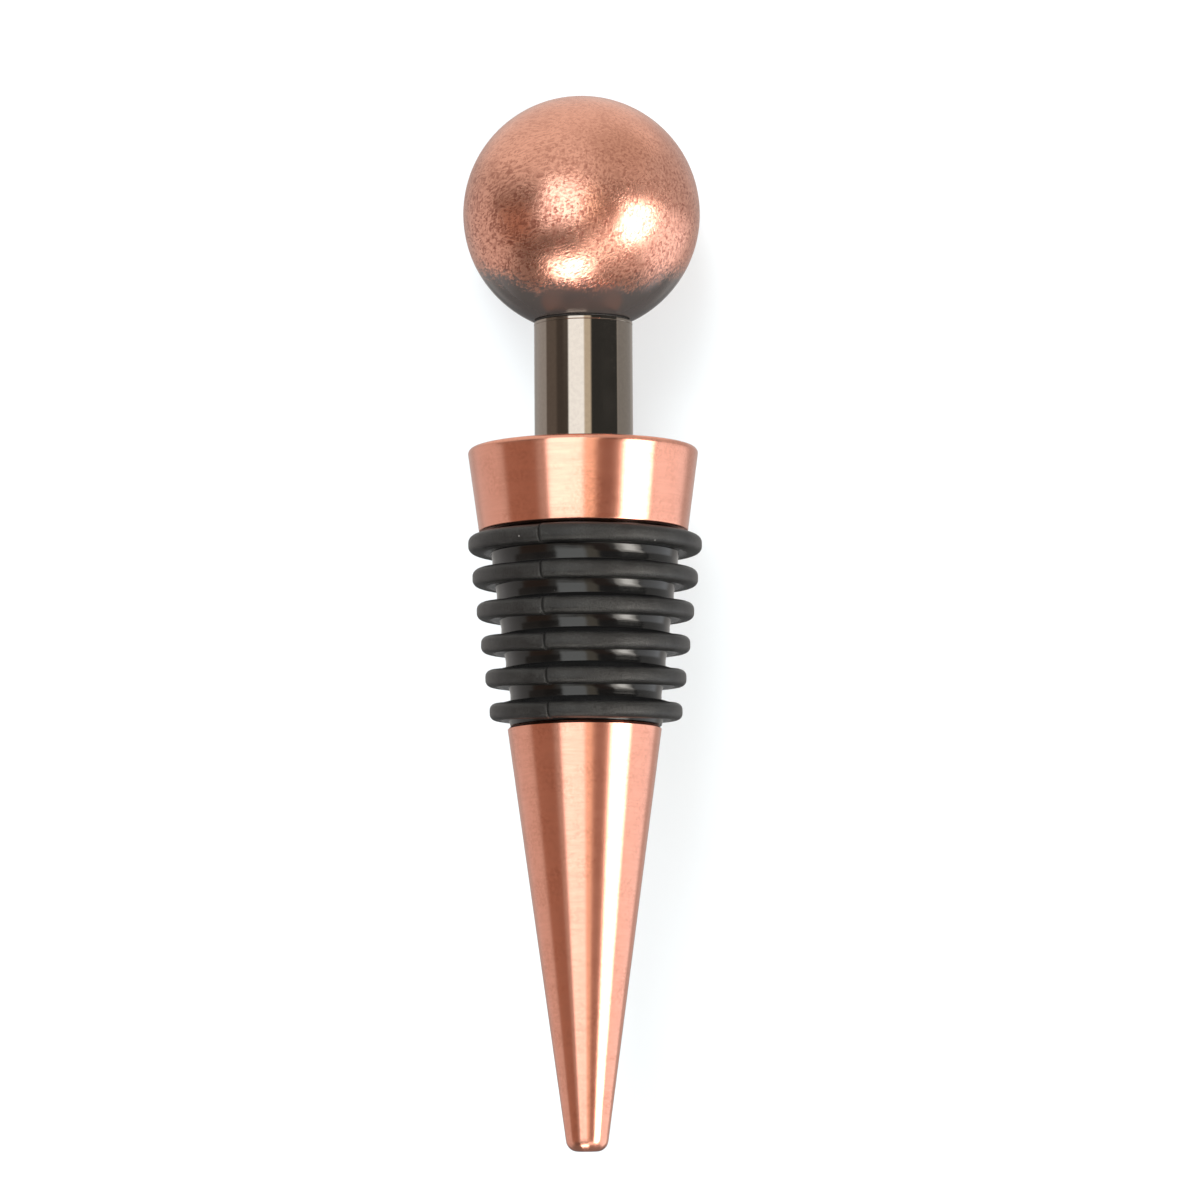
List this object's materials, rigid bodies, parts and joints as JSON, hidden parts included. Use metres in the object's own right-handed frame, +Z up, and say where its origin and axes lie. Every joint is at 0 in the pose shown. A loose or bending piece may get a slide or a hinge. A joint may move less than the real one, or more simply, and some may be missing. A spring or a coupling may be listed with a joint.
{
  "type": "bottle stopper",
  "caption": "Ball-topped bottle stopper: screw-on copper ball, dark polished neck, copper collar, ribbed black rubber sealing sleeve and a long tapered copper cone.",
  "frame": {"origin": "on the stopper's axis, at the collar's underside, where the rubber sleeve begins", "axes": "+Z up the axis towards the ball; every piece is turned about Z, so +X and +Y only complete the frame"},
  "size_m": [0.024, 0.024, 0.1067],
  "materials": {
    "brushed_copper_ball": "satin",
    "turned_copper": "satin",
    "black_nickel": "polished",
    "black_rubber": "satin",
    "black_fibre": "matte",
    "plain_steel": "satin"
  },
  "bodies": {
    "stem": {"neck_tube": "black_nickel", "collar": "turned_copper", "ribbed_sleeve": "black_rubber", "sleeve_core": "plain_steel", "lower_cone": "turned_copper", "tie_stud": "plain_steel"},
    "washer": {"knob_washer": "black_fibre"},
    "knob": {"ball_knob": "brushed_copper_ball"}
  },
  "joints": [
    {"name": "knob_turn", "type": "hinge", "parent": "stem", "child": "washer", "pos_m": [0, 0, 0.02158], "axis": [0, 0, 1], "range_deg": [0, 2880]},
    {"name": "knob_lift", "type": "slide", "parent": "washer", "child": "knob", "axis": [0, 0, 1], "range_m": [0, 0.008]}
  ],
  "couplings": [
    {"joint": "knob_lift", "follows": "knob_turn", "m_per_rad": 0.00015915}
  ]
}
